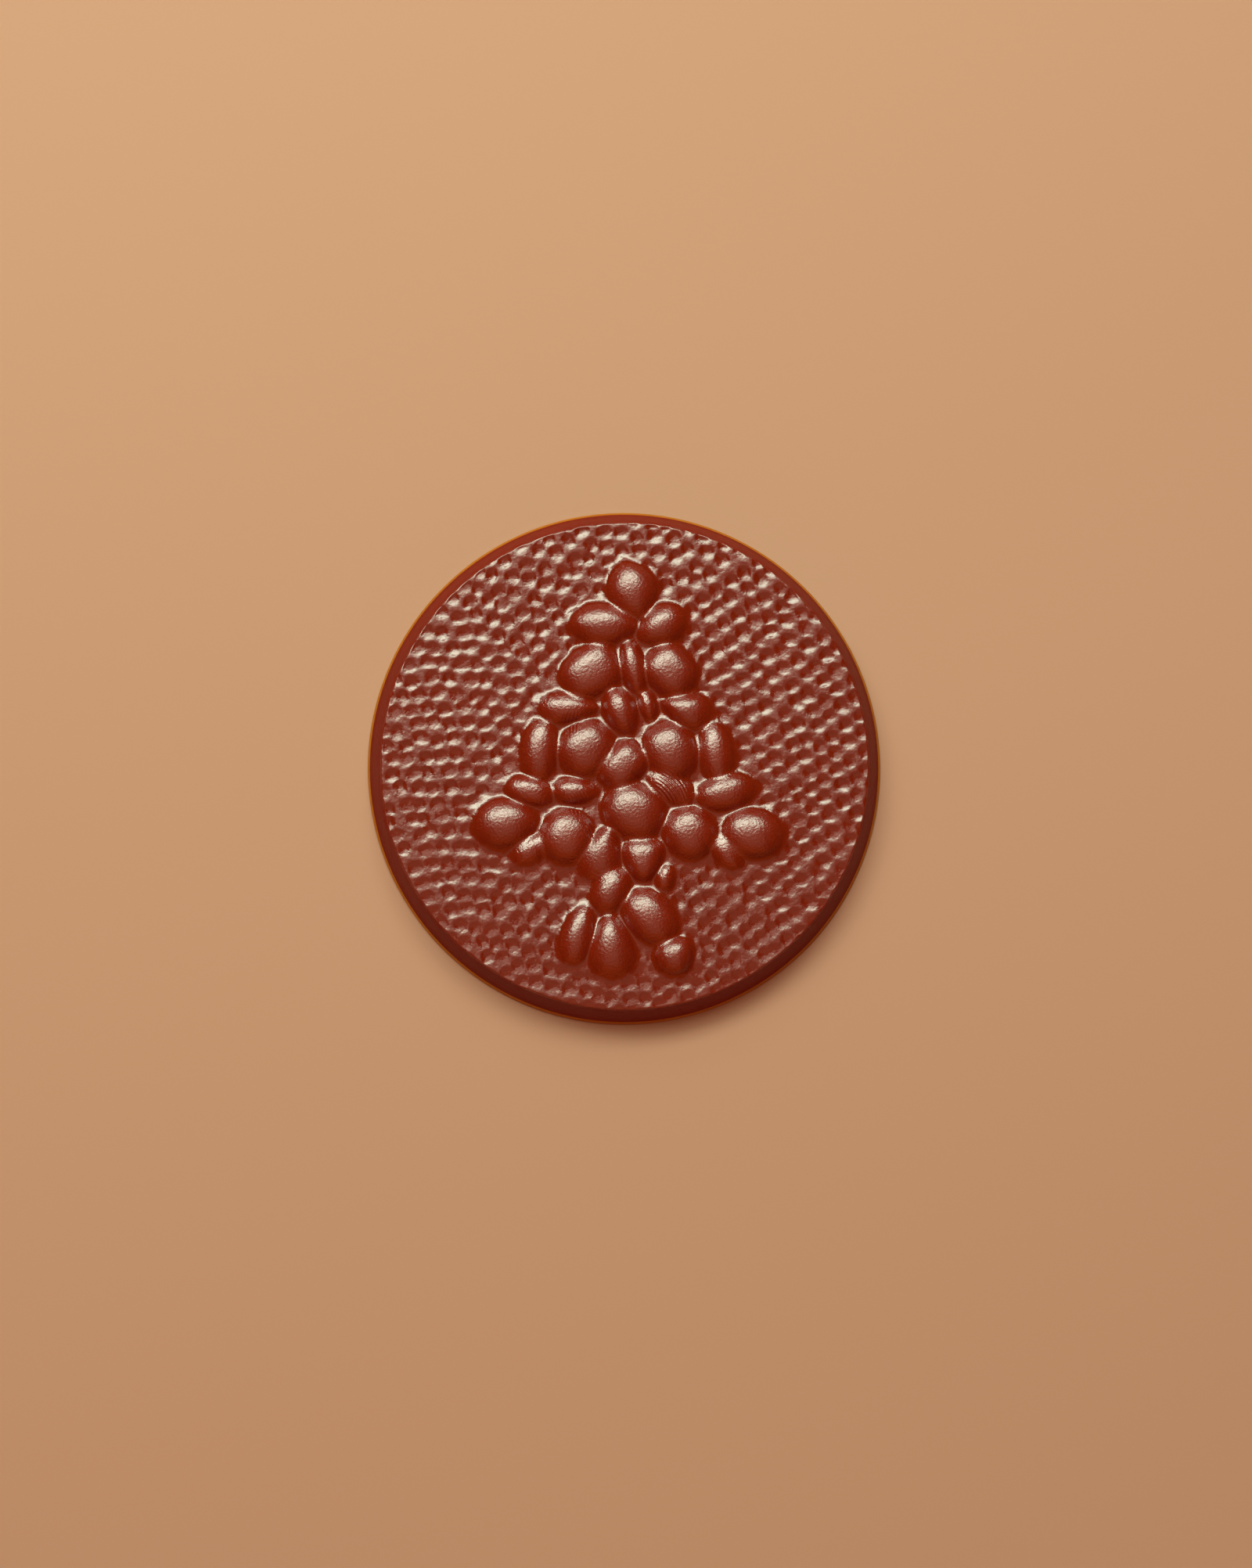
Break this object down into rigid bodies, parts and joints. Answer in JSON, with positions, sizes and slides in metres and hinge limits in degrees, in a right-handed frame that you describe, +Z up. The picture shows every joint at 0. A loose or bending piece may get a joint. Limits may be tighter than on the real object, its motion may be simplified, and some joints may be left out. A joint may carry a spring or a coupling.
{
  "type": "christmas tree cookie",
  "caption": "Round moulded milk chocolate cookie with a hammered face, a Christmas tree of smooth bean shapes raised on it, a tapered side and a flat back.",
  "frame": {"origin": "middle of the flat back, on the surface that the cookie rests on", "axes": "+Z up through the thickness, out of the decorated face; +Y from the trunk of the tree to its crown; +X to the right of the tree seen from above"},
  "size_m": [0.075, 0.075, 0.0077],
  "materials": {
    "milk_chocolate": "moulded milk chocolate, semi-gloss, reddish brown"
  },
  "bodies": {
    "root": {"cookie": "milk_chocolate"}
  },
  "joints": []
}
